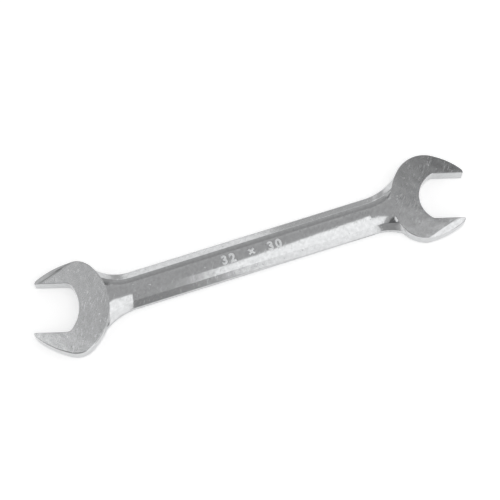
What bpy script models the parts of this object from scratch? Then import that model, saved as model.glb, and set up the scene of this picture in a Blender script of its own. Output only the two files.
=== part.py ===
"""Double open end wrench for 30 mm and 32 mm nuts, one chrome plated drop forging.

Lengths are in metres, with +Z up. The shank runs along X, and the wrench lies on the
flat faces of its two heads at Z = 0. The head for the larger nut is at -X.
"""

import math
from collections import namedtuple

import bmesh
import bpy
from mathutils import Matrix, Vector

# The wrench as a whole
NUT_SPACING = 0.2606  # between the centres of the two nuts
NUT_OFFSET = 0.0025  # from the middle line of the shank to each nut's centre
JAW_ANGLE = math.radians(15)  # of both jaws to the line through the two centres
JAW_PLAY = 0.00025  # the room that a jaw leaves a nut of its size
HEAD_THICKNESS = 0.0115

# The head for the larger nut, measured from the nut's centre
LARGE_NUT = 0.032
LARGE_WIDTH = 0.062
LARGE_TIP_REACH = 0.0152
LARGE_FLAT_BACK = 0.0052
LARGE_THROAT_REACH = 0.0137
LARGE_BACK_SPREAD = 0.00644  # by which the back's radius exceeds half the width
LARGE_HIP_RADIUS = 0.014
LARGE_FLANK_RADIUS = 0.056

# The head for the smaller nut, measured from the nut's centre
SMALL_NUT = 0.030
SMALL_WIDTH = 0.0574
SMALL_TIP_REACH = 0.0148
SMALL_FLAT_BACK = 0.0045
SMALL_THROAT_REACH = 0.0149
SMALL_BACK_SPREAD = 0.00827
SMALL_HIP_RADIUS = 0.020
SMALL_FLANK_RADIUS = 0.050

# What both heads share
BACK_REACH = 0.0334  # from the nut's centre to the rounded back of the head
TIP_RADIUS = 0.004
THROAT_CORNER_RADIUS = 0.005
EDGE_ROUND = 0.0015  # along the outside of the jaws
BACK_ROUND = 0.0006  # where the head stands proud of the neck
JAW_EASE = 0.0005  # along the flats and the throat
RELIEF_BACK = 0.0045  # from the tip to where the ground relief leaves the jaw flat
RELIEF_TILT = math.radians(16)

# The shank, whose section is the same above and below its middle plane
SHANK_WIDTH = 0.0255
SHANK_THICKNESS = 0.0096
PANEL_INSET = 0.0049  # from the parting line in to the edge of the crowned panel
PANEL_SAG = 0.001  # from the middle of the panel down to its edge
LEDGE_INSET = 0.0018  # from the parting line in to the foot of the bevel
LEDGE_HEIGHT = 0.0022  # of that foot above the middle plane

# The necks, where the shank spreads into a head
SHORT_FILLET = 0.040  # on the side that the jaws turn away from
LONG_FILLET = 0.030  # on the side that the jaws turn to
FILLET_BITE = 0.00015  # how deep a fillet runs into the head
NECK_STEP = 0.00035  # from the head's face down to the middle of the neck
NECK_RISE = 0.015  # the length over which the panel rises to the head

# How finely curves are divided
FACET_LENGTH = 0.0014
NECK_STATION_LENGTH = 0.0016
CROWN_STEPS = 10
ROUND_STEPS = 3
FLAT_ANGLE = math.radians(0.1)  # faces that lie this flat to each other are one face
SHARP_ANGLE = math.radians(30)  # edges at least this sharp are shaded as edges
WALL_TILT_SHARE = 0.5  # a face whose normal rises less than this is a wall
WELD_DISTANCE = 0.00002
OVERRUN = 0.002  # how far a cutter or a joined end runs past the surface that it meets

JAW_TURN = JAW_ANGLE + math.atan2(2 * NUT_OFFSET, NUT_SPACING)
HALF_HEAD = HEAD_THICKNESS / 2
HALF_SHANK = SHANK_THICKNESS / 2
HALF_WIDTH = SHANK_WIDTH / 2

Circle = namedtuple("Circle", "centre radius")
Fillet = namedtuple("Fillet", "radius start length")
Head = namedtuple(
    "Head",
    "name facing nut width tip_reach flat_back throat_reach back_spread hip_radius flank_radius",
)

LARGE = Head(
    "large_head",
    -1,
    LARGE_NUT,
    LARGE_WIDTH,
    LARGE_TIP_REACH,
    LARGE_FLAT_BACK,
    LARGE_THROAT_REACH,
    LARGE_BACK_SPREAD,
    LARGE_HIP_RADIUS,
    LARGE_FLANK_RADIUS,
)
SMALL = Head(
    "small_head",
    1,
    SMALL_NUT,
    SMALL_WIDTH,
    SMALL_TIP_REACH,
    SMALL_FLAT_BACK,
    SMALL_THROAT_REACH,
    SMALL_BACK_SPREAD,
    SMALL_HIP_RADIUS,
    SMALL_FLANK_RADIUS,
)


def clear_scene():
    for item in list(bpy.data.objects):
        bpy.data.objects.remove(item, do_unlink=True)


def new_collection(name):
    made = bpy.data.collections.new(name)
    bpy.context.scene.collection.children.link(made)
    return made


def chrome():
    made = bpy.data.materials.new("chrome_plate")
    made.use_nodes = True
    shader = made.node_tree.nodes["Principled BSDF"]
    shader.inputs["Base Color"].default_value = (0.56, 0.57, 0.58, 1)
    shader.inputs["Metallic"].default_value = 1
    shader.inputs["Roughness"].default_value = 0.28
    return made


# Plane geometry of a head, in the jaw's own frame: X along the jaw to its tips, from the
# nut's centre, and Y across it


def half_gap(head):
    return (head.nut + JAW_PLAY) / 2


def back_circle(head):
    """The circle through the back of the head that holds both hips and touches them."""
    radius = head.width / 2 + head.back_spread
    return Circle(Vector((radius - BACK_REACH, 0)), radius)


def hip_circle(head):
    """The circle round the widest place of the head, which touches its back."""
    back = back_circle(head)
    out = head.width / 2 - head.hip_radius
    behind = math.sqrt((back.radius - head.hip_radius) ** 2 - out**2)
    return Circle(Vector((back.centre.x - behind, out)), head.hip_radius)


def tip_circle(head):
    return Circle(Vector((head.tip_reach - TIP_RADIUS, half_gap(head))), TIP_RADIUS)


def flank_circle(head):
    """The circle along the outside of a jaw, which touches the hip and the tip."""
    hip = hip_circle(head)
    tip = tip_circle(head)
    to_hip = head.flank_radius - hip.radius
    to_tip = head.flank_radius - tip.radius
    between = tip.centre - hip.centre
    along = (between.length_squared + to_hip**2 - to_tip**2) / (2 * between.length)
    down = math.sqrt(to_hip**2 - along**2)
    direction = between.normalized()
    across = Vector((direction.y, -direction.x))
    return Circle(hip.centre + direction * along + across * down, head.flank_radius)


def corner_circle(head):
    return Circle(
        Vector((-head.flat_back, half_gap(head) - THROAT_CORNER_RADIUS)),
        THROAT_CORNER_RADIUS,
    )


def throat_circle(head):
    """The circle through the bottom of the throat that touches both of its corners."""
    corner = corner_circle(head)
    depth = head.throat_reach - head.flat_back
    radius = (depth**2 + corner.centre.y**2 - corner.radius**2) / (
        2 * (depth - corner.radius)
    )
    return Circle(Vector((radius - head.throat_reach, 0)), radius)


def angle_between(inside_of, circle):
    """The angle at which a circle touches the larger one around it."""
    towards = circle.centre - inside_of.centre
    return math.atan2(towards.y, towards.x)


def arc(circle, start, end):
    steps = max(2, math.ceil(abs(end - start) * circle.radius / FACET_LENGTH))
    points = []
    for step in range(steps):
        angle = start + (end - start) * step / steps
        points.append(
            circle.centre + circle.radius * Vector((math.cos(angle), math.sin(angle)))
        )
    return points


def half_outline(head):
    """One side of the head, from its back round the jaw to the bottom of the throat."""
    back = back_circle(head)
    hip = hip_circle(head)
    flank = flank_circle(head)
    tip = tip_circle(head)
    corner = corner_circle(head)
    throat = throat_circle(head)
    at_hip = angle_between(back, hip)
    at_flank = angle_between(flank, hip)
    at_tip = angle_between(flank, tip)
    at_throat = angle_between(throat, corner)
    points = arc(back, math.pi, at_hip)
    points += arc(hip, at_hip, at_flank)
    points += arc(flank, at_flank, at_tip)
    points += arc(tip, at_tip, 0)
    points.append(Vector((head.tip_reach, half_gap(head))))
    points += arc(corner, math.pi / 2, at_throat)
    points += arc(throat, at_throat, math.pi)
    points.append(Vector((-head.throat_reach, 0)))
    return points


def head_outline(head):
    one_side = half_outline(head)
    other_side = [Vector((point.x, -point.y)) for point in reversed(one_side[1:-1])]
    return one_side + other_side


def edge_width(head, point):
    """How far the edge of a face is rounded or eased at this place on the outline."""
    back = back_circle(head)
    hip = hip_circle(head)
    if point.x > -head.throat_reach - EDGE_ROUND and abs(point.y) < half_gap(head) + JAW_EASE:
        return JAW_EASE
    outer = abs(math.atan2(abs(point.y), point.x - back.centre.x))
    at_hip = angle_between(back, hip)
    at_flank = math.atan2(head.width / 2, hip.centre.x - back.centre.x)
    share = min(max((outer - at_flank) / (at_hip - at_flank), 0), 1)
    return EDGE_ROUND + (BACK_ROUND - EDGE_ROUND) * share


# The heads in place


def jaw_matrix(head):
    """From a jaw's own frame to the wrench's frame, both in the middle plane."""
    turned = Matrix.Rotation(-JAW_TURN, 4, "Z")
    placed = Matrix.Translation((NUT_SPACING / 2, -NUT_OFFSET, 0)) @ turned
    if head.facing < 0:
        return Matrix.Rotation(math.pi, 4, "Z") @ placed
    return placed


def raised():
    return Matrix.Translation((0, 0, HALF_HEAD))


def outline_curve(name, points, half_depth):
    curve = bpy.data.curves.new(name, "CURVE")
    curve.dimensions = "2D"
    curve.fill_mode = "BOTH"
    curve.extrude = half_depth
    spline = curve.splines.new("POLY")
    spline.points.add(len(points) - 1)
    for place, point in zip(spline.points, points):
        place.co = (point.x, point.y, 0, 1)
    spline.use_cyclic_u = True
    return bpy.data.objects.new(name, curve)


def mesh_from_curve(curve_object, collection):
    name = curve_object.name
    collection.objects.link(curve_object)
    bpy.context.view_layer.update()
    graph = bpy.context.evaluated_depsgraph_get()
    mesh = bpy.data.meshes.new_from_object(curve_object.evaluated_get(graph))
    bpy.data.objects.remove(curve_object)
    made = bpy.data.objects.new(name, mesh)
    collection.objects.link(made)
    cleaned = bmesh.new()
    cleaned.from_mesh(mesh)
    bmesh.ops.remove_doubles(cleaned, verts=cleaned.verts, dist=WELD_DISTANCE)
    bmesh.ops.dissolve_limit(
        cleaned, angle_limit=FLAT_ANGLE, verts=cleaned.verts, edges=cleaned.edges
    )
    bmesh.ops.recalc_face_normals(cleaned, faces=cleaned.faces)
    cleaned.to_mesh(mesh)
    cleaned.free()
    return made


def weigh_face_edges(made, head):
    """Marks the edges of both flat faces with the share of EDGE_ROUND that each is cut."""
    shape = bmesh.new()
    shape.from_mesh(made.data)
    weights = shape.edges.layers.float.new("bevel_weight_edge")
    for edge in shape.edges:
        first, second = edge.verts
        level = first.co.z * second.co.z > 0
        rim = any(abs(face.normal.z) < WALL_TILT_SHARE for face in edge.link_faces)
        if level and rim:
            middle = (first.co + second.co) / 2
            edge[weights] = edge_width(head, middle) / EDGE_ROUND
    shape.to_mesh(made.data)
    shape.free()


def as_helper(made):
    made.hide_render = True
    made.display_type = "WIRE"


def relief_cutter(head, side_up, collection):
    """A block whose tilted face grinds the outside of one jaw down towards its tip."""
    widest = Vector((hip_circle(head).centre.x, -head.width / 2, 0))
    leaves = Vector((head.tip_reach - RELIEF_BACK, -half_gap(head), 0))
    along = (leaves - widest).normalized()
    length = (leaves - widest).length + 2 * BACK_REACH
    block = bmesh.new()
    bmesh.ops.create_cube(block, size=1)
    size = Vector((length, head.width, HEAD_THICKNESS))
    lift = Matrix.Translation((0, -head.width / 2 + OVERRUN, HEAD_THICKNESS / 2))
    bmesh.ops.transform(block, verts=block.verts, matrix=lift @ Matrix.Diagonal(size.to_4d()))
    tilt = Matrix.Rotation(RELIEF_TILT, 4, "X")
    aim = Matrix.Rotation(math.atan2(along.y, along.x), 4, "Z")
    middle = (widest + leaves) / 2
    there = Matrix.Translation((middle.x, middle.y, HALF_HEAD)) @ aim @ tilt
    bmesh.ops.transform(block, verts=block.verts, matrix=there)
    if not side_up:
        bmesh.ops.transform(block, verts=block.verts, matrix=Matrix.Scale(-1, 4, (0, 0, 1)))
        bmesh.ops.reverse_faces(block, faces=block.faces)
    name = head.name + ("_relief_above" if side_up else "_relief_below")
    mesh = bpy.data.meshes.new(name)
    block.to_mesh(mesh)
    block.free()
    made = bpy.data.objects.new(name, mesh)
    collection.objects.link(made)
    as_helper(made)
    return made


def add_boolean(made, other, operation):
    modifier = made.modifiers.new(other.name, "BOOLEAN")
    modifier.operation = operation
    modifier.solver = "EXACT"
    modifier.object = other


def make_head(head, helpers):
    """A flat head with its jaw, its rounded outer edges and its ground relief."""
    flat = outline_curve(head.name, head_outline(head), HALF_HEAD)
    made = mesh_from_curve(flat, helpers)
    weigh_face_edges(made, head)
    rounding = made.modifiers.new("rounded_edges", "BEVEL")
    rounding.width = EDGE_ROUND
    rounding.segments = ROUND_STEPS
    rounding.limit_method = "WEIGHT"
    rounding.use_clamp_overlap = False
    place = raised() @ jaw_matrix(head)
    for side_up in (True, False):
        cutter = relief_cutter(head, side_up, helpers)
        cutter.matrix_world = place
        add_boolean(made, cutter, "DIFFERENCE")
    made.matrix_world = place
    as_helper(made)
    return made


# The shank and its necks, in the wrench's frame for a head that faces +X. The short side
# of a neck is at +Y there and the long side at -Y


def placed_circle(circle, side):
    """A head's circle in the wrench's frame, mirrored to the side asked for."""
    centre = jaw_matrix(SMALL) @ Vector((circle.centre.x, side * circle.centre.y, 0))
    return Circle(centre.to_2d(), circle.radius)


def neck_fillet(head, side):
    """The fillet in plan between one side of the shank and the back of the head."""
    radius = SHORT_FILLET if side > 0 else LONG_FILLET
    height = side * (HALF_WIDTH + radius)
    back = placed_circle(back_circle(head), side)
    hip = placed_circle(hip_circle(head), side)
    junction = side * angle_between(back, hip)
    for circle in (hip, back):
        reach = circle.radius - FILLET_BITE + radius
        drop = height - circle.centre.y
        start = circle.centre.x - math.sqrt(reach**2 - drop**2)
        meets = side * math.atan2(drop, start - circle.centre.x)
        if circle is back or meets < junction:
            break
    length = (circle.centre.x - start) * radius / reach
    return Fillet(radius, start, length)


def side_width(fillet, x, inset):
    """From the middle line to a line that runs along the side, this far in from it."""
    run = min(max(x - fillet.start, 0), fillet.length)
    return HALF_WIDTH + fillet.radius - math.sqrt((fillet.radius + inset) ** 2 - run**2)


def neck_lift(head, x, y):
    """How much higher the section stands here than on the plain shank, as a factor."""
    back = placed_circle(back_circle(head), 1)
    away = (Vector((x, y)) - back.centre).length - back.radius
    share = 1 - min(max(away / NECK_RISE, 0), 1)
    full = (HALF_HEAD - NECK_STEP) / HALF_SHANK - 1
    return 1 + full * share**2


def section(head, fillets, x):
    """The upper half of the shank's section, from the long side to the short side."""
    short, long = fillets
    panel_long = -side_width(long, x, PANEL_INSET)
    panel_short = side_width(short, x, PANEL_INSET)
    flat = [
        (-side_width(long, x, 0), 0),
        (-side_width(long, x, LEDGE_INSET), LEDGE_HEIGHT),
    ]
    for step in range(CROWN_STEPS + 1):
        share = step / CROWN_STEPS
        y = panel_long + (panel_short - panel_long) * share
        flat.append((y, HALF_SHANK - PANEL_SAG * (2 * share - 1) ** 2))
    flat.append((side_width(short, x, LEDGE_INSET), LEDGE_HEIGHT))
    flat.append((side_width(short, x, 0), 0))
    return [Vector((x, y, z * neck_lift(head, x, y))) for y, z in flat]


def neck_sections(head):
    """Sections from the plain shank out into the head, turned to where the head is."""
    fillets = (neck_fillet(head, 1), neck_fillet(head, -1))
    start = min(fillet.start for fillet in fillets)
    start = min(start, NUT_SPACING / 2 - BACK_REACH - NECK_RISE)
    end = max(fillet.start + fillet.length for fillet in fillets) + OVERRUN
    steps = math.ceil((end - start) / NECK_STATION_LENGTH)
    made = []
    for step in range(steps + 1):
        points = section(head, fillets, start + (end - start) * step / steps)
        if head.facing < 0:
            points = [Vector((-point.x, -point.y, point.z)) for point in reversed(points)]
        made.append(points)
    return made


def loft(name, sections, collection):
    """The upper half of a solid through these sections, open at the middle plane."""
    shape = bmesh.new()
    rows = [[shape.verts.new(point) for point in points] for points in sections]
    for row, following in zip(rows, rows[1:]):
        for place in range(len(row) - 1):
            shape.faces.new(
                (row[place], following[place], following[place + 1], row[place + 1])
            )
    shape.faces.new(rows[0])
    shape.faces.new(list(reversed(rows[-1])))
    mesh = bpy.data.meshes.new(name)
    shape.to_mesh(mesh)
    shape.free()
    made = bpy.data.objects.new(name, mesh)
    collection.objects.link(made)
    return made


def make_wrench(parts, helpers):
    """The crowned shank between its two heads, joined as the one forging that it is."""
    sections = list(reversed(neck_sections(LARGE))) + neck_sections(SMALL)
    wrench = loft("wrench_forging", sections, parts)
    wrench.matrix_world = raised()
    both_sides = wrench.modifiers.new("same_below", "MIRROR")
    both_sides.use_axis = (False, False, True)
    both_sides.merge_threshold = WELD_DISTANCE
    for head in (LARGE, SMALL):
        add_boolean(wrench, make_head(head, helpers), "UNION")
    wrench.data.shade_smooth()
    wrench.data.set_sharp_from_angle(angle=SHARP_ANGLE)
    wrench.data.materials.append(chrome())
    return wrench


clear_scene()
make_wrench(new_collection("open_end_wrench"), new_collection("shapes_joined_and_cut"))
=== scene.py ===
import math

import bmesh
import bpy
from mathutils import Matrix, Vector


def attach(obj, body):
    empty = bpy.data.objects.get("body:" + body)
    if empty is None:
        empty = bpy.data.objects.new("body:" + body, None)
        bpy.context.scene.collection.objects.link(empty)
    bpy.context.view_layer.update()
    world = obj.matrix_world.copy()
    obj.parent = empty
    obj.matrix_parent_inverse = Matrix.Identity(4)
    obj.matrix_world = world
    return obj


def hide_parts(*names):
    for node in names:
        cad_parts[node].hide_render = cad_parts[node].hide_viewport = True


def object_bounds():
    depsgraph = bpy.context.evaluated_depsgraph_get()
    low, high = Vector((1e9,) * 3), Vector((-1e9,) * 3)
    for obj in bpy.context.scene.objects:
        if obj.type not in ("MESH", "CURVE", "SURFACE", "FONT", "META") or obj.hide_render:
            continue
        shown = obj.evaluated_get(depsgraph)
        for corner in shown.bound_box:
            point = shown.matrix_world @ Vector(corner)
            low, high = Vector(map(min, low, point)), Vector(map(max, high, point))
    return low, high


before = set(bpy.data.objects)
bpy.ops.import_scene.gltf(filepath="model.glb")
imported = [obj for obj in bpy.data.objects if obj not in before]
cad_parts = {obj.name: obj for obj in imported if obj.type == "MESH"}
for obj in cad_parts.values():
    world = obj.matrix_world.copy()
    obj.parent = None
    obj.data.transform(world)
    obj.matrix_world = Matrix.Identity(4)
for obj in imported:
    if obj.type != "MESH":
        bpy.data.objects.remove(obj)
cad_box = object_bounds()

# The forging. A double open end wrench is one bar of chrome vanadium steel, drop forged
# between two dies that part at its middle plane, ground on its head faces and inside its
# jaws, polished on the outside and chrome plated. Its sizes here are in millimetres.
MM = 0.001
NUT_SPACING = 260.6
NUT_OFFSET = 2.5  # of each nut's centre from the middle line of the shank
JAW_TURN = math.radians(15) + math.atan2(2 * NUT_OFFSET, NUT_SPACING)
JAW_PLAY = 0.25
HALF_HEAD = 5.75
BACK_REACH = 33.4  # from the nut's centre to the round back of the head
TIP_RADIUS = 4.0
TIP_EASE = 0.6  # radius of the turn from the round tip into the jaw's flat
CORNER_RADIUS = 5.0
# Of each head: the nut across its flats, the width, how far the tips reach ahead of the
# nut's centre and the flats and the throat behind it, by how much the radius of the back is
# more than half the width, the radii of hip and flank, and how level the neck's short side
# runs into the face.
LARGE = {
    "nut": 32, "width": 62, "tip": 15.2, "flat_back": 5.2, "throat": 13.7,
    "back_spread": 6.44, "hip": 14, "flank": 56, "short_side_flush": 0,
}
SMALL = {
    "nut": 30, "width": 57.4, "tip": 14.8, "flat_back": 4.5, "throat": 14.9,
    "back_spread": 8.27, "hip": 20, "flank": 50, "short_side_flush": 1,
}
RELIEF_BACK = 4.5  # from the front of a jaw to where its relief leaves the flat
RELIEF_TILT = math.radians(16)
HALF_WIDTH = 12.75
HALF_SHANK = 4.8
PANEL_INSET, PANEL_SAG = 4.9, 1.0  # of the crowned panel's border, and of its arc
LEDGE_INSET, LEDGE_HEIGHT = 0.75, 1.66  # of the ledge's outer border, above the parting line
CREASE_ROUND = 0.45
SIDE_STEPS, CROWN_STEPS, CREASE_STEPS = 8, 28, 4
FILLET = {1: 40.0, -1: 30.0}  # on the short side of each neck, at +Y, and on the long side
NECK_STEP = 0.06  # by which the panel's end stays below the head's face
NECK_RISE = 15.5  # length over which the neck rises to the head
NECK_SWEEP = 0.15  # part of the ledge's rise that is left for the last stretch
LATE_SWEEP, LATE_FLUSH = 8, 6  # powers of the share of the way, for what rises late
RINGS = 56
ARC_STEP = 0.45
WELD = 0.004
ON_RIM = 0.2  # a place this close to a head's round back is on its rim
NECK_FROM = 90  # every rim lies further out along the wrench than this
HALVINGS = 40


def choose(piece, test):
    """Selects those vertices of the mesh in edit mode whose place, in mm, passes."""
    mesh = bmesh.from_edit_mesh(piece.data)
    bpy.context.tool_settings.mesh_select_mode = (True, False, False)
    mesh.select_mode = {"VERT"}
    for face in mesh.faces:
        face.select = False
    for edge in mesh.edges:
        edge.select = False
    for vert in mesh.verts:
        vert.select = bool(test(vert.co / MM))
    mesh.select_flush_mode()
    bmesh.update_edit_mesh(piece.data)


def start_piece(name, y):
    """A mesh of one vertex at this Y, left in edit mode, from which a line is drawn."""
    bpy.ops.object.select_all(action="DESELECT")
    bpy.ops.mesh.primitive_plane_add(size=2 * MM)
    piece = bpy.context.object
    piece.name = name
    bpy.ops.object.mode_set(mode="EDIT")
    choose(piece, lambda co: co.x < 0 or co.y < 0)
    bpy.ops.mesh.delete(type="VERT")
    choose(piece, lambda co: True)
    bpy.ops.transform.translate(value=Vector((-1, y - 1, 0)) * MM)
    return piece


def draw(x, y, z=0):
    """Extrudes what is selected by this step, in mm."""
    bpy.ops.mesh.extrude_region_move(
        TRANSFORM_OT_translate={"value": Vector((x, y, z)) * MM}
    )


def draw_section(piece):
    """From the long side's parting line over the crowned panel to the short side's."""
    ledge = PANEL_INSET - LEDGE_INSET
    rise = HALF_SHANK - PANEL_SAG - LEDGE_HEIGHT
    shares = [(step / SIDE_STEPS) ** 2 for step in range(SIDE_STEPS + 1)]
    for low, high in zip(shares, shares[1:]):
        draw(0, LEDGE_INSET * (high - low), LEDGE_HEIGHT * (high - low))
    for _ in range(SIDE_STEPS):
        draw(0, ledge / SIDE_STEPS, rise / SIDE_STEPS)
    half_panel = HALF_WIDTH - PANEL_INSET
    crown = (half_panel**2 + PANEL_SAG**2) / (2 * PANEL_SAG)
    bpy.ops.mesh.spin(
        steps=CROWN_STEPS,
        angle=2 * math.asin(half_panel / crown),
        center=(0, 0, (HALF_SHANK - crown) * MM),
        axis=(1, 0, 0),
    )
    for _ in range(SIDE_STEPS):
        draw(0, ledge / SIDE_STEPS, -rise / SIDE_STEPS)
    shares = [1 - share for share in reversed(shares)]
    for low, high in zip(shares, shares[1:]):
        draw(0, LEDGE_INSET * (high - low), LEDGE_HEIGHT * (low - high))
    creases = (HALF_WIDTH - LEDGE_INSET, HALF_WIDTH - PANEL_INSET)
    choose(piece, lambda co: min(abs(abs(co.y) - crease) for crease in creases) < WELD)
    bpy.ops.mesh.bevel(
        offset=CREASE_ROUND * MM, offset_type="WIDTH", segments=CREASE_STEPS, affect="VERTICES"
    )


def heading(from_point, to_point):
    """The direction from one place to another, as an angle."""
    step = to_point - from_point
    return math.atan2(step.y, step.x)


def back_circle(head):
    """The centre and radius of the round back, in the jaw's own plane."""
    radius = head["width"] / 2 + head["back_spread"]
    return Vector((radius - BACK_REACH, 0)), radius


def hip_circle(head):
    """The tighter arc that leads from the back into the flank, inside the back's circle."""
    back, back_radius = back_circle(head)
    out = head["width"] / 2 - head["hip"]
    behind = math.sqrt((back_radius - head["hip"]) ** 2 - out**2)
    return Vector((back.x - behind, out)), head["hip"]


def half_gap(head):
    return (head["nut"] + JAW_PLAY) / 2


def tip_circle(head):
    return Vector((head["tip"] - TIP_RADIUS, half_gap(head))), TIP_RADIUS


def flank_circle(head):
    """The wide arc that touches both the hip and the tip."""
    hip, hip_radius = hip_circle(head)
    tip, tip_radius = tip_circle(head)
    to_hip = head["flank"] - hip_radius
    to_tip = head["flank"] - tip_radius
    between = tip - hip
    along = (between.length_squared + to_hip**2 - to_tip**2) / (2 * between.length)
    down = math.sqrt(to_hip**2 - along**2)
    ahead = between.normalized()
    return hip + ahead * along + Vector((ahead.y, -ahead.x)) * down, head["flank"]


def throat_circle(head):
    """The arc at the bottom of the jaw, which touches both of its inner corners."""
    corner = Vector((-head["flat_back"], half_gap(head) - CORNER_RADIUS))
    depth = head["throat"] - head["flat_back"]
    radius = (depth**2 + corner.y**2 - CORNER_RADIUS**2) / (2 * (depth - CORNER_RADIUS))
    return Vector((radius - head["throat"], 0)), radius


def on_wrench(x, y):
    """From a jaw's own plane, with the nut at zero, to the wrench's, for a head at +X."""
    turned = Matrix.Rotation(-JAW_TURN, 2) @ Vector((x, y))
    return turned + Vector((NUT_SPACING / 2, -NUT_OFFSET))


def in_jaw(point):
    """The way back from the wrench's plane to the jaw's own."""
    moved = Vector((point.x - NUT_SPACING / 2, point.y + NUT_OFFSET))
    return Matrix.Rotation(JAW_TURN, 2) @ moved


def beyond_head(head, point):
    """How far a place on the neck lies outside the round back of the head."""
    local = in_jaw(point)
    local.y = abs(local.y)
    back, back_radius = back_circle(head)
    hip, hip_radius = hip_circle(head)
    if heading(back, local) < heading(back, hip):
        return (local - hip).length - hip_radius
    return (local - back).length - back_radius


def neck_side(head, side):
    """Where a fillet leaves the straight shank, and the place where it meets the head."""
    radius = FILLET[side]
    height = side * (HALF_WIDTH + radius)
    placed = [
        (on_wrench(centre.x, side * centre.y), size)
        for centre, size in (hip_circle(head), back_circle(head))
    ]
    junction = side * heading(placed[1][0], placed[0][0])
    for centre, size in placed:
        drop = height - centre.y
        start = centre.x - math.sqrt((size + radius) ** 2 - drop**2)
        if side * math.atan2(drop, start - centre.x) < junction:
            break
    meets = Vector((start, height)).lerp(centre, radius / (size + radius))
    return start, meets


def out_to(side, start, x, inset):
    """How far out a line runs that follows one side of the neck, inset from its edge."""
    radius = FILLET[side]
    run = max(x - start, 0)
    return side * (HALF_WIDTH + radius - math.sqrt((radius + inset) ** 2 - run**2))


def spread(head, x, y):
    """Where a line that lies at y on the plain shank has got to, further along."""
    half_panel = HALF_WIDTH - PANEL_INSET
    sides = {side: neck_side(head, side)[0] for side in (1, -1)}
    if abs(y) > half_panel:
        side = 1 if y > 0 else -1
        return Vector((x, out_to(side, sides[side], x, HALF_WIDTH - abs(y))))
    low = out_to(-1, sides[-1], x, PANEL_INSET)
    high = out_to(1, sides[1], x, PANEL_INSET)
    return Vector((x, low + (high - low) * (y / half_panel + 1) / 2))


def neck_end(head, y):
    """How far along a line runs before it meets the head."""
    far = neck_side(head, 1 if y > 0 else -1)[1].x
    if HALF_WIDTH - abs(y) < WELD:
        return far
    near = NUT_SPACING / 2 - BACK_REACH - NECK_RISE - TIP_RADIUS
    for _ in range(HALVINGS):
        middle = (near + far) / 2
        if beyond_head(head, spread(head, middle, y)) > 0:
            near = middle
        else:
            far = middle
    return near


def flush_share(head, y):
    """How far a line at y on the plain shank runs out level with the head's face."""
    half_panel = HALF_WIDTH - PANEL_INSET
    flat = 1 if y < 0 or head["short_side_flush"] else max(0, 1 - y / half_panel)
    on_ledge = (HALF_WIDTH - LEDGE_INSET - abs(y)) / (PANEL_INSET - LEDGE_INSET)
    return flat * min(max(on_ledge, 0), 1)


def neck_height(head, y, z, share):
    """The height of a point of the section, raised by its share of the way to the head."""
    top = HALF_HEAD - NECK_STEP
    flush = flush_share(head, y)
    sweep = NECK_SWEEP * (1 - flush)
    climb = (1 - sweep) * share + sweep * share**LATE_SWEEP
    raised = z * (1 + (top / HALF_SHANK - 1) * climb)
    return raised + (top - raised) * flush * share**LATE_FLUSH


def draw_neck(piece, head):
    """Draws the section out along the shank, then ring by ring into the head's back."""
    start = min(neck_side(head, 1)[0], neck_side(head, -1)[0])
    start = min(start, NUT_SPACING / 2 - BACK_REACH - NECK_RISE)
    choose(piece, lambda co: True)
    draw(start, 0)
    for _ in range(RINGS):
        draw(1, 0)
    ends = {}
    mesh = bmesh.from_edit_mesh(piece.data)
    for vert in mesh.verts:
        x, y, z = vert.co / MM
        if x < start - WELD:
            continue
        line = round(y, 3)
        if line not in ends:
            ends[line] = neck_end(head, y)
        along = start + (ends[line] - start) * (x - start) / RINGS
        place = spread(head, along, y)
        share = 1 - min(max(beyond_head(head, place) / NECK_RISE, 0), 1)
        vert.co = Vector((place.x, place.y, neck_height(head, y, z, share))) * MM
    bmesh.update_edit_mesh(piece.data)


def turn(centre, radius, angle):
    """Draws an arc, clockwise where the angle is positive, seen from above."""
    place = on_wrench(centre[0], centre[1]) * MM
    bpy.ops.mesh.spin(
        steps=max(2, math.ceil(abs(angle) * radius / ARC_STEP)),
        angle=angle,
        center=(place.x, place.y, 0),
        axis=(0, 0, 1),
    )


def run_along_jaw(length):
    """Draws one flat of the jaw, outwards where the length is positive."""
    step = Matrix.Rotation(-JAW_TURN, 2) @ Vector((length, 0))
    draw(step.x, step.y)


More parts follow.
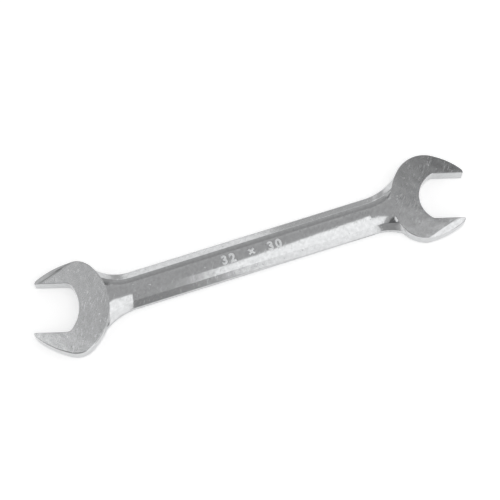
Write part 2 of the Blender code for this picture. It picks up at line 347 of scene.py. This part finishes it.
def draw_jaws(piece, head):
    """Draws the parting line of the head, from the neck's short side to its long side."""
    back, back_radius = back_circle(head)
    hip, hip_radius = hip_circle(head)
    flank, flank_radius = flank_circle(head)
    tip, tip_radius = tip_circle(head)
    throat, throat_radius = throat_circle(head)
    corner = Vector((-head["flat_back"], half_gap(head) - CORNER_RADIUS))
    at_hip = heading(back, hip)
    at_flank = heading(flank, hip)
    at_tip = heading(flank, tip)
    at_corner = heading(throat, corner)
    ease_out = math.sqrt((tip_radius - TIP_EASE) ** 2 - TIP_EASE**2)
    at_ease = math.atan2(TIP_EASE, ease_out)
    flat = tip.x + ease_out + head["flat_back"]
    for side in (1, -1):
        meets = in_jaw(neck_side(head, side)[1])
        meets.y = abs(meets.y)
        from_back = heading(back, meets) > at_hip
        meets_back = heading(back, meets) - at_hip if from_back else 0
        meets_hip = at_hip if from_back else heading(hip, meets)
        arcs = [
            ((back.x, 0), back_radius, meets_back),
            ((hip.x, side * hip.y), hip_radius, meets_hip - at_flank),
            ((flank.x, side * flank.y), flank_radius, at_flank - at_tip),
            ((tip.x, side * tip.y), tip_radius, at_tip - at_ease),
            (
                (tip.x + ease_out, side * (tip.y + TIP_EASE)),
                TIP_EASE,
                at_ease + math.pi / 2,
            ),
        ]
        inner = ((corner.x, side * corner.y), CORNER_RADIUS, math.pi / 2 - at_corner)
        if side > 0:
            end = neck_side(head, 1)[1]
            choose(piece, lambda co: (co.xy - end).length < WELD and co.z < WELD)
            for centre, radius, angle in arcs:
                if angle:
                    turn(centre, radius, angle)
            run_along_jaw(-flat)
            turn(*inner)
            turn((throat.x, 0), throat_radius, 2 * (at_corner - math.pi))
        else:
            turn(*inner)
            run_along_jaw(flat)
            for centre, radius, angle in reversed(arcs):
                if angle:
                    turn(centre, radius, angle)
    choose(piece, lambda co: True)
    bpy.ops.mesh.remove_doubles(threshold=WELD * MM)


def raise_head(piece, head):
    """Draws the head's wall up from its outline and the neck, and closes its face."""
    mesh = bmesh.from_edit_mesh(piece.data)
    bpy.context.tool_settings.mesh_select_mode = (False, True, False)
    mesh.select_mode = {"EDGE"}
    for edge in mesh.edges:
        middle = (edge.verts[0].co + edge.verts[1].co) / 2 / MM
        edge.select = len(edge.link_faces) == 0 or (
            edge.is_boundary
            and middle.x > NECK_FROM
            and abs(beyond_head(head, middle.xy)) < ON_RIM
            and not all(abs(vert.co.z) < WELD * MM for vert in edge.verts)
        )
    mesh.select_flush_mode()
    bmesh.update_edit_mesh(piece.data)
    bpy.ops.mesh.extrude_region_move()
    bpy.ops.transform.resize(value=(1, 1, 0), center_override=(0, 0, HALF_HEAD * MM))
    bpy.ops.mesh.edge_face_add()


def grind_relief(piece, head):
    """Grinds the outside of the jaw on the long side down towards its tip."""
    hip, hip_radius = hip_circle(head)
    widest = on_wrench(hip.x, -head["width"] / 2)
    leaves = on_wrench(head["tip"] - RELIEF_BACK, -half_gap(head))
    along = (leaves - widest).normalized()
    outward = Vector((along.y, -along.x, 0))
    normal = math.sin(RELIEF_TILT) * outward + Vector((0, 0, math.cos(RELIEF_TILT)))
    choose(piece, lambda co: True)
    bpy.ops.mesh.bisect(
        plane_co=Vector((widest.x, widest.y, HALF_HEAD)) * MM,
        plane_no=normal,
        use_fill=True,
        clear_outer=True,
    )


def half_forging(name, head, side_of_shank):
    """The upper half of the wrench from its middle to one end, at +X where the side is 1."""
    piece = start_piece(name, -HALF_WIDTH)
    draw_section(piece)
    draw_neck(piece, head)
    draw_jaws(piece, head)
    raise_head(piece, head)
    grind_relief(piece, head)
    if side_of_shank < 0:
        choose(piece, lambda co: True)
        bpy.ops.transform.rotate(value=math.pi, orient_axis="Z", center_override=(0, 0, 0))
    bpy.ops.object.mode_set(mode="OBJECT")
    return piece


small_end = half_forging("small_end", SMALL, 1)
large_end = half_forging("large_end", LARGE, -1)
bpy.ops.object.select_all(action="DESELECT")
small_end.select_set(True)
large_end.select_set(True)
bpy.context.view_layer.objects.active = large_end
bpy.ops.object.join()
forging = large_end
forging.name = "forged_wrench"
bpy.ops.object.mode_set(mode="EDIT")
choose(forging, lambda co: True)
bpy.ops.mesh.remove_doubles(threshold=WELD * MM)
bpy.ops.object.mode_set(mode="OBJECT")
both_faces = forging.modifiers.new("both_faces", "MIRROR")
both_faces.use_axis = (False, False, True)
both_faces.merge_threshold = WELD * MM
bpy.ops.object.modifier_apply(modifier=both_faces.name)
bpy.ops.object.mode_set(mode="EDIT")
choose(forging, lambda co: True)
bpy.ops.mesh.normals_make_consistent(inside=False)
bpy.ops.object.mode_set(mode="OBJECT")


def wall_height(co):
    """How far the round back of a head stands above the neck, at a place on its rim."""
    point = Vector((co.x, co.y)) * (1 if co.x > 0 else -1)
    head = SMALL if co.x > 0 else LARGE
    side = 1 if in_jaw(point).y > 0 else -1
    if abs(beyond_head(head, point)) > ON_RIM or point.x > neck_side(head, side)[1].x:
        return HALF_HEAD
    low, high = -HALF_WIDTH, HALF_WIDTH
    for _ in range(HALVINGS):
        middle = (low + high) / 2
        if spread(head, point.x, middle).y < point.y:
            low = middle
        else:
            high = middle
    inset = HALF_WIDTH - abs(low)
    if inset < LEDGE_INSET:
        height = LEDGE_HEIGHT * inset / LEDGE_INSET
    elif inset < PANEL_INSET:
        share = (inset - LEDGE_INSET) / (PANEL_INSET - LEDGE_INSET)
        height = LEDGE_HEIGHT + (HALF_SHANK - PANEL_SAG - LEDGE_HEIGHT) * share
    else:
        half_panel = HALF_WIDTH - PANEL_INSET
        height = HALF_SHANK - PANEL_SAG * (low / half_panel) ** 2
    return HALF_HEAD - neck_height(head, low, height, 1)


OUTER_ROUND = 0.8  # the radii of rounded edges: of a head's outer edge
BACK_ROUND = 0.35  # of its back's edge, where the neck leaves little of it standing
JAW_ROUND = 0.4
LAND_ROUND = 0.35  # along the parting line of the shank
FOOT_ROUND = 0.5  # in the hollow where a head stands up from its neck
ROUND_STEPS = 4
FLATTEST_EDGE = math.radians(12)
RELIEF_CREASE = math.radians(20)
WALL_NORMAL = 0.35  # a wall's normal rises less than this
LEAST_WALL, LEAST_DEPTH = 0.25, 0.5  # no room for a round below these
WALL_PART, FOOT_PART = 0.45, 0.4  # the most of a wall's height that its rounds take
LOW_WALL = HALF_HEAD - LEDGE_HEIGHT - 0.4
LAND_FADE, TIP_FADE, RELIEF_FADE = 12, 14, 6  # lengths over which a radius changes
RELIEF_PART = 0.2  # what is left of the radius at the corner where a relief begins


def edge_round(edge):
    """The radius, in mm, that grinding and polishing leave along an edge."""
    angle = edge.calc_face_angle(0)
    if angle < FLATTEST_EDGE:
        return 0
    co = (edge.verts[0].co + edge.verts[1].co) / 2 / MM
    walls = [abs(face.normal.z) < WALL_NORMAL for face in edge.link_faces]
    point = Vector((co.x, co.y)) * (1 if co.x > 0 else -1)
    head = SMALL if co.x > 0 else LARGE
    local = in_jaw(point)
    if all(walls) or not any(walls):
        if abs(co.z) > WELD:
            if angle < RELIEF_CREASE and local.y < 0 and beyond_head(head, point) < -1:
                edge.smooth = False
            return 0
        ends = [abs(neck_side(end, side)[1].x) for end in (SMALL, LARGE) for side in (1, -1)]
        return LAND_ROUND * min(1, max(0, (min(ends) - abs(co.x)) / LAND_FADE))
    height = wall_height(co)
    if not edge.is_convex:
        room = min(height - LEAST_WALL, abs(co.z) - LEAST_DEPTH)
        return min(FOOT_ROUND, FOOT_PART * max(0, room))
    tip = tip_circle(head)[0]
    if abs(local.y) < half_gap(head) + TIP_RADIUS / 2 and local.x > -head["throat"] - 1:
        return JAW_ROUND
    from_tip = min(max((tip.x - local.x) / TIP_FADE, 0), 1)
    outer = JAW_ROUND + (OUTER_ROUND - JAW_ROUND) * from_tip
    if height < HALF_HEAD - WELD:
        tallness = min(max((height - LOW_WALL) / (HALF_HEAD - LOW_WALL), 0), 1)
        outer = BACK_ROUND + (outer - BACK_ROUND) * tallness
        outer = min(outer, WALL_PART * max(0, height - LEAST_WALL))
    hip = hip_circle(head)[0]
    from_relief = (local - Vector((hip.x, -head["width"] / 2))).length
    return outer * min(max(from_relief / RELIEF_FADE, RELIEF_PART), 1)


mesh = bmesh.new()
mesh.from_mesh(forging.data)
weight = mesh.edges.layers.float.new("bevel_weight_edge")
for edge in mesh.edges:
    edge[weight] = edge_round(edge) / OUTER_ROUND
mesh.to_mesh(forging.data)
mesh.free()
rounds = forging.modifiers.new("rounds", "BEVEL")
rounds.width = OUTER_ROUND * MM
rounds.segments = ROUND_STEPS
rounds.limit_method = "WEIGHT"
rounds.use_clamp_overlap = False
bpy.ops.object.select_all(action="DESELECT")
forging.select_set(True)
bpy.context.view_layer.objects.active = forging
bpy.ops.object.modifier_apply(modifier=rounds.name)
bpy.ops.object.mode_set(mode="EDIT")
choose(forging, lambda co: True)
bpy.ops.transform.translate(value=(0, 0, HALF_HEAD * MM))
bpy.ops.object.mode_set(mode="OBJECT")
# Without this, the rounds stand out of the CAD's box by a hundredth of a millimetre.
for vert in forging.data.vertices:
    vert.co = [min(max(place, low), high) for place, low, high in zip(vert.co, *cad_box)]
SMOOTH_BELOW = math.radians(35)
bpy.ops.object.shade_smooth_by_angle(angle=SMOOTH_BELOW)
flats = forging.modifiers.new("flats", "WEIGHTED_NORMAL")
flats.keep_sharp = True
bpy.ops.object.modifier_apply(modifier=flats.name)


def linear(code):
    """A colour written as sRGB hex, in linear light."""
    shares = [int(code[place : place + 2], 16) / 255 for place in (1, 3, 5)]
    curve = [
        share / 12.92 if share <= 0.04045 else ((share + 0.055) / 1.055) ** 2.4
        for share in shares
    ]
    return (*curve, 1)


def add_node(tree, kind, settings, links):
    """Adds a node, sets its values and sockets, and links others into it."""
    node = tree.nodes.new(kind)
    for key, value in settings.items():
        if isinstance(key, str) and hasattr(node, key):
            setattr(node, key, value)
        else:
            node.inputs[key].default_value = value
    for key, source in links.items():
        tree.links.new(source, node.inputs[key])
    return node


# Nickel and chrome plate. On the head faces, ground and left satin, the plate shows soft
# blurred tones, and on the polished shank and edges sharp ones. Both carry slight waves
# from hand grinding, a fine grit, and the nicks and short scratches of use.
CHROME = ("#DADBDC", "#BCBDBE")  # bright, and dulled by wear
WAVE, BLOTCH, GRIT = 9, 2.5, 0.6  # lengths in mm; grit is coarser than the real, to show
BLOTCH_RANGE = (0.3, 0.7)  # of the noise, from least to most dull
NICK_SPACING, NICK_SHARE = 6, 0.1
SCRATCH_LENGTH, SCRATCH_GAP, SCRATCH_TURN = 5, 0.8, math.radians(55)
SCRATCH_RANGE = (0.68, 0.76)  # of the noise, from untouched to the bottom of a scratch
SATIN_ROUGH, SATIN_DEPTHS = (0.12, 0.19), (0.07, 0.008, 0.07, 0.02)
BRIGHT_ROUGH, BRIGHT_DEPTHS = (0.08, 0.12), (0.035, 0.002, 0.07, 0.008)


def chrome_plate(name, tones, rough, depths):
    """Plated metal, with the depths in mm of its waves, grit, nicks and scratches."""
    plate = bpy.data.materials.new(name)
    plate.use_nodes = True
    tree = plate.node_tree
    skin = tree.nodes["Principled BSDF"]
    skin.inputs["Metallic"].default_value = 1
    place = add_node(tree, "ShaderNodeTexCoord", {}, {}).outputs["Object"]
    blotch = add_node(
        tree, "ShaderNodeTexNoise", {"Scale": 1 / (BLOTCH * MM), "Detail": 3}, {"Vector": place}
    )
    tone = add_node(
        tree,
        "ShaderNodeMix",
        {"data_type": "RGBA", 6: linear(tones[0]), 7: linear(tones[1])},
        {"Factor": blotch.outputs["Fac"]},
    )
    tree.links.new(tone.outputs[2], skin.inputs["Base Color"])
    dull = add_node(
        tree,
        "ShaderNodeMapRange",
        {
            "From Min": BLOTCH_RANGE[0],
            "From Max": BLOTCH_RANGE[1],
            "To Min": rough[0],
            "To Max": rough[1],
        },
        {"Value": blotch.outputs["Fac"]},
    )
    tree.links.new(dull.outputs["Result"], skin.inputs["Roughness"])
    wave = add_node(
        tree, "ShaderNodeTexNoise", {"Scale": 1 / (WAVE * MM), "Detail": 1}, {"Vector": place}
    )
    grit = add_node(
        tree, "ShaderNodeTexNoise", {"Scale": 1 / (GRIT * MM), "Detail": 2}, {"Vector": place}
    )
    nicks = add_node(
        tree, "ShaderNodeTexVoronoi", {"Scale": 1 / (NICK_SPACING * MM)}, {"Vector": place}
    )
    nick = add_node(
        tree,
        "ShaderNodeMapRange",
        {"From Min": 0, "From Max": NICK_SHARE, "To Min": -1, "To Max": 0},
        {"Value": nicks.outputs["Distance"]},
    )
    lengthways = add_node(
        tree,
        "ShaderNodeMapping",
        {
            "vector_type": "TEXTURE",
            "Rotation": (0, 0, SCRATCH_TURN),
            "Scale": (SCRATCH_LENGTH * MM, SCRATCH_GAP * MM, SCRATCH_GAP * MM),
        },
        {"Vector": place},
    )
    rub = add_node(
        tree, "ShaderNodeTexNoise", {"Scale": 1, "Detail": 0}, {"Vector": lengthways.outputs[0]}
    )
    scratch = add_node(
        tree,
        "ShaderNodeMapRange",
        {
            "From Min": SCRATCH_RANGE[0],
            "From Max": SCRATCH_RANGE[1],
            "To Min": 0,
            "To Max": -1,
        },
        {"Value": rub.outputs["Fac"]},
    )
    height = None
    sources = (
        wave.outputs["Fac"],
        grit.outputs["Fac"],
        nick.outputs["Result"],
        scratch.outputs["Result"],
    )
    for source, depth in zip(sources, depths):
        added = {0: source} if height is None else {0: source, 2: height}
        step = add_node(
            tree, "ShaderNodeMath", {"operation": "MULTIPLY_ADD", 1: depth * MM, 2: 0}, added
        )
        height = step.outputs[0]
    relief = add_node(tree, "ShaderNodeBump", {"Strength": 1, "Distance": 1}, {"Height": height})
    tree.links.new(relief.outputs["Normal"], skin.inputs["Normal"])
    return plate


satin = chrome_plate("satin_chrome_plate", CHROME, SATIN_ROUGH, SATIN_DEPTHS)
bright = chrome_plate("bright_chrome_plate", CHROME, BRIGHT_ROUGH, BRIGHT_DEPTHS)
forging.data.materials.append(satin)
forging.data.materials.append(bright)
FLAT_NORMAL = 0.9999
# The level faces of the heads are satin, and all the rest is bright.
for face in forging.data.polygons:
    height = abs(face.center.z / MM - HALF_HEAD)
    ground = abs(face.normal.z) > FLAT_NORMAL and abs(height - HALF_HEAD) < WELD
    face.material_index = 0 if ground else 1

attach(forging, "root")
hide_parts("wrench_forging")

# The size mark. Plain numerals for the two jaw sizes, raised on the crown of the shank by
# a recess cut in the forging die, and plated with the rest. Their tops are finely matt, and
# their plate is painted near white as a painted highlight, so that they look pale beside the
# mirroring panel.
NUMERAL_SIZE, NUMERAL_SPREAD = 8, 1.35
NUMERAL_HALF_DEPTH, NUMERAL_ROUND, NUMERAL_SWELL = 0.3, 0.15, 0.18
NUMERAL_RAISE = 0.35
FIRST_CUT, CUT_SPACING, CUTS = -0.6, 0.7, 9  # across the numerals, so that they can bend
NUMERAL_SMOOTH_BELOW = math.radians(40)
# The numerals' two tones are near white, far paler than the chrome: a painted highlight, not the
# plate's own colour.
NUMERAL_PAINTED_HIGHLIGHT_TONES, BUFFED_ROUGH, BUFFED_DEPTHS = ("#FBFCFC", "#ECEEF0"), (0.55, 0.65), (0.01, 0.012, 0, 0)
bpy.ops.object.select_all(action="DESELECT")
bpy.ops.object.text_add()
mark = bpy.context.object
mark.name = "raised_size_mark"
mark.data.body = "32  ×  30"
mark.data.size = NUMERAL_SIZE * MM
mark.data.space_character = NUMERAL_SPREAD
mark.data.align_x = "CENTER"
mark.data.extrude = NUMERAL_HALF_DEPTH * MM
mark.data.bevel_depth = NUMERAL_ROUND * MM
mark.data.bevel_resolution = 3
mark.data.offset = NUMERAL_SWELL * MM
bpy.ops.object.convert(target="MESH")
bpy.ops.object.mode_set(mode="EDIT")
choose(mark, lambda co: True)
bpy.ops.mesh.remove_doubles(threshold=WELD * MM)
for cut in range(CUTS):
    choose(mark, lambda co: True)
    level = (FIRST_CUT + cut * CUT_SPACING) * MM
    bpy.ops.mesh.bisect(plane_co=(0, level, 0), plane_no=(0, 1, 0))
mesh = bmesh.from_edit_mesh(mark.data)
across = [vert.co.y for vert in mesh.verts]
middle = (min(across) + max(across)) / 2
crown = ((HALF_WIDTH - PANEL_INSET) ** 2 + PANEL_SAG**2) / (2 * PANEL_SAG)
lift = HALF_HEAD + HALF_SHANK + NUMERAL_RAISE - NUMERAL_HALF_DEPTH - NUMERAL_ROUND
for vert in mesh.verts:
    vert.co.y -= middle
    drop = crown - math.sqrt(crown**2 - (vert.co.y / MM) ** 2)
    vert.co.z += (lift - drop) * MM
bmesh.update_edit_mesh(mark.data)
choose(mark, lambda co: True)
bpy.ops.mesh.normals_make_consistent(inside=False)
bpy.ops.object.mode_set(mode="OBJECT")
bpy.ops.object.shade_smooth_by_angle(angle=NUMERAL_SMOOTH_BELOW)
mark.data.materials.clear()
# The numerals' plate, painted near white as a painted highlight.
numeral_plate_with_painted_highlight = chrome_plate("raised_chrome_painted_highlight", NUMERAL_PAINTED_HIGHLIGHT_TONES, BUFFED_ROUGH, BUFFED_DEPTHS)
mark.data.materials.append(numeral_plate_with_painted_highlight)
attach(mark, "root")

# The floor. A sheet of matt white paper that the wrench lies on. It shows white to the
# camera and in the metal, and it keeps the soft shadow of the wrench.
FLOOR_SIZE, PAPER_TONE = 8, 0.9
GLOW_SEEN, GLOW_MIRRORED = 0.48, 0.42  # added to what the lamps give it, where 1 is white
bpy.ops.object.select_all(action="DESELECT")
bpy.ops.mesh.primitive_plane_add(size=FLOOR_SIZE)
floor = bpy.context.object
floor.name = "white_floor"
paper = bpy.data.materials.new("white_paper")
paper.use_nodes = True
tree = paper.node_tree
skin = tree.nodes["Principled BSDF"]
skin.inputs["Base Color"].default_value = (PAPER_TONE, PAPER_TONE, PAPER_TONE, 1)
skin.inputs["Roughness"].default_value = 1
skin.inputs["Specular IOR Level"].default_value = 0
skin.inputs["Emission Color"].default_value = (1, 1, 1, 1)
rays = add_node(tree, "ShaderNodeLightPath", {}, {})
seen = add_node(
    tree,
    "ShaderNodeMath",
    {"operation": "MULTIPLY", 1: GLOW_SEEN},
    {0: rays.outputs["Is Camera Ray"]},
)
mirrored = add_node(
    tree,
    "ShaderNodeMath",
    {"operation": "ADD"},
    {0: rays.outputs["Is Glossy Ray"], 1: rays.outputs["Is Transmission Ray"]},
)
glow = add_node(
    tree,
    "ShaderNodeMath",
    {"operation": "MULTIPLY_ADD", 1: GLOW_MIRRORED},
    {0: mirrored.outputs[0], 2: seen.outputs[0]},
)
tree.links.new(glow.outputs[0], skin.inputs["Emission Strength"])
floor.data.materials.append(paper)

# The room. White to the camera, and for the metal a pale room that is brightest near the
# horizon and darkens towards the ceiling, where the softboxes hang. Each level stands with
# the height of its direction, 0 at the horizon and 1 straight up.
STUDIO_LEVELS = (
    (0, 0.9), (0.12, 0.9), (0.2, 0.55), (0.36, 0.52), (0.55, 0.36), (0.72, 0.42), (0.9, 0.15)
)
studio = bpy.data.worlds.new("studio")
bpy.context.scene.world = studio
studio.use_nodes = True
tree = studio.node_tree
sky = tree.nodes["Background"]
sky.inputs["Color"].default_value = (1, 1, 1, 1)
rays = add_node(tree, "ShaderNodeLightPath", {}, {})
toward = add_node(tree, "ShaderNodeTexCoord", {}, {})
parts = add_node(tree, "ShaderNodeSeparateXYZ", {}, {"Vector": toward.outputs["Generated"]})
levels = add_node(tree, "ShaderNodeValToRGB", {}, {"Fac": parts.outputs["Z"]})
ramp = levels.color_ramp
while len(ramp.elements) < len(STUDIO_LEVELS):
    ramp.elements.new(0.5)
for stop, (height, level) in zip(ramp.elements, STUDIO_LEVELS):
    stop.position = height
    stop.color = (level, level, level, 1)
shown = add_node(
    tree,
    "ShaderNodeMix",
    {"B": 1.0},
    {"Factor": rays.outputs["Is Camera Ray"], "A": levels.outputs["Color"]},
)
tree.links.new(shown.outputs["Result"], sky.inputs["Strength"])

# The lamps. Level softboxes under the ceiling stand where the faces and the crowned panel
# mirror them, so that the metal shows the tones of a room. Two cards behind the wrench
# light its far ledge, and a softbox far out at each side lights its ends. Lengths in metres.
CEILING, UPPER_CEILING, TOP_CEILING = 1.3, 1.34, 1.38


def add_softbox(name, place, aim, wide, high, radiance):
    """A rectangle of light that shines this bright towards its aim."""
    lamp = bpy.data.lights.new(name, "AREA")
    lamp.shape = "RECTANGLE"
    lamp.size, lamp.size_y = wide, high
    lamp.energy = radiance * math.pi * wide * high
    box = bpy.data.objects.new(name, lamp)
    bpy.context.scene.collection.objects.link(box)
    box.location = place
    box.rotation_euler = (Vector(aim) - Vector(place)).to_track_quat("-Z", "Y").to_euler()
    return box


def add_level_softbox(name, left, right, near, far, height, radiance):
    """A softbox that shines straight down, given by the lines that bound it."""
    middle = ((left + right) / 2, (near + far) / 2)
    add_softbox(name, (*middle, height), (*middle, 0), right - left, far - near, radiance)


add_level_softbox("ceiling_softbox", 0.05, 0.72, -1.0, 0.05, CEILING, 1.2)
add_softbox("front_softbox", (0.42, -1.05, 0.7), (0.1, 0, 0.5), 0.6, 1.2, 0.85)
corner = add_softbox(
    "corner_softbox", (0.313, 0.052, CEILING), (0.313, 0.052, 0), 0.34, 0.34, 0.9
)
corner.rotation_euler.z += math.radians(53)
add_level_softbox("right_softbox", 0.3, 0.72, 0.0, 0.31, CEILING, 0.7)
add_level_softbox("middle_fill", -0.1, 0.36, 0.05, 0.85, UPPER_CEILING, 0.34)
add_level_softbox("near_left_fill", -0.1, 0.05, -0.7, 0.05, CEILING, 0.34)
add_level_softbox("far_left_fill", -0.95, -0.07, 0.38, 0.78, TOP_CEILING, 0.41)
add_level_softbox("far_fill", -0.15, 0.45, 0.85, 1.35, UPPER_CEILING, 0.1)
add_level_softbox("far_left_corner_fill", -0.65, -0.17, 0.89, 1.72, CEILING, 0.29)
left = add_softbox("left_softbox", (-0.403, 0.275, CEILING), (-0.403, 0.275, 0), 0.5, 0.42, 0.98)
left.rotation_euler.z += math.radians(30.6)
add_softbox("far_card", (0.004, 0.85, 0.44), (0.004, 0, 0.24), 0.21, 0.34, 0.58)
add_softbox("far_right_card", (0.18, 0.85, 0.48), (0.18, 0, 0.24), 0.14, 0.28, 0.38)
add_softbox("left_side_softbox", (-1.8, 0, 1.1), (0, 0, 0), 1.6, 1.2, 0.6)
add_softbox("right_side_softbox", (1.9, 0, 1.1), (0, 0, 0), 1.6, 1.2, 0.7)

# The camera. A long lens that looks down on the wrench from the left, turned, raised and
# placed so that the render lies over the photograph.
AZIMUTH, ELEVATION = math.radians(-18.05), math.radians(73.3)
LENS, SENSOR = 144, 36
DISTANCE = 1.309
AIM = Vector((0.4, 4.3, 0)) * MM
forward = Vector(
    (
        -math.sin(AZIMUTH) * math.cos(ELEVATION),
        math.cos(AZIMUTH) * math.cos(ELEVATION),
        -math.sin(ELEVATION),
    )
)
view = bpy.data.cameras.new("view")
view.lens = LENS
view.sensor_width = SENSOR
view.clip_start = 0.05
view.clip_end = 20
camera = bpy.data.objects.new("camera", view)
bpy.context.scene.collection.objects.link(camera)
camera.location = AIM - forward * DISTANCE
camera.rotation_euler = forward.to_track_quat("-Z", "Y").to_euler()
bpy.context.scene.camera = camera
bpy.context.scene.view_settings.view_transform = "Standard"
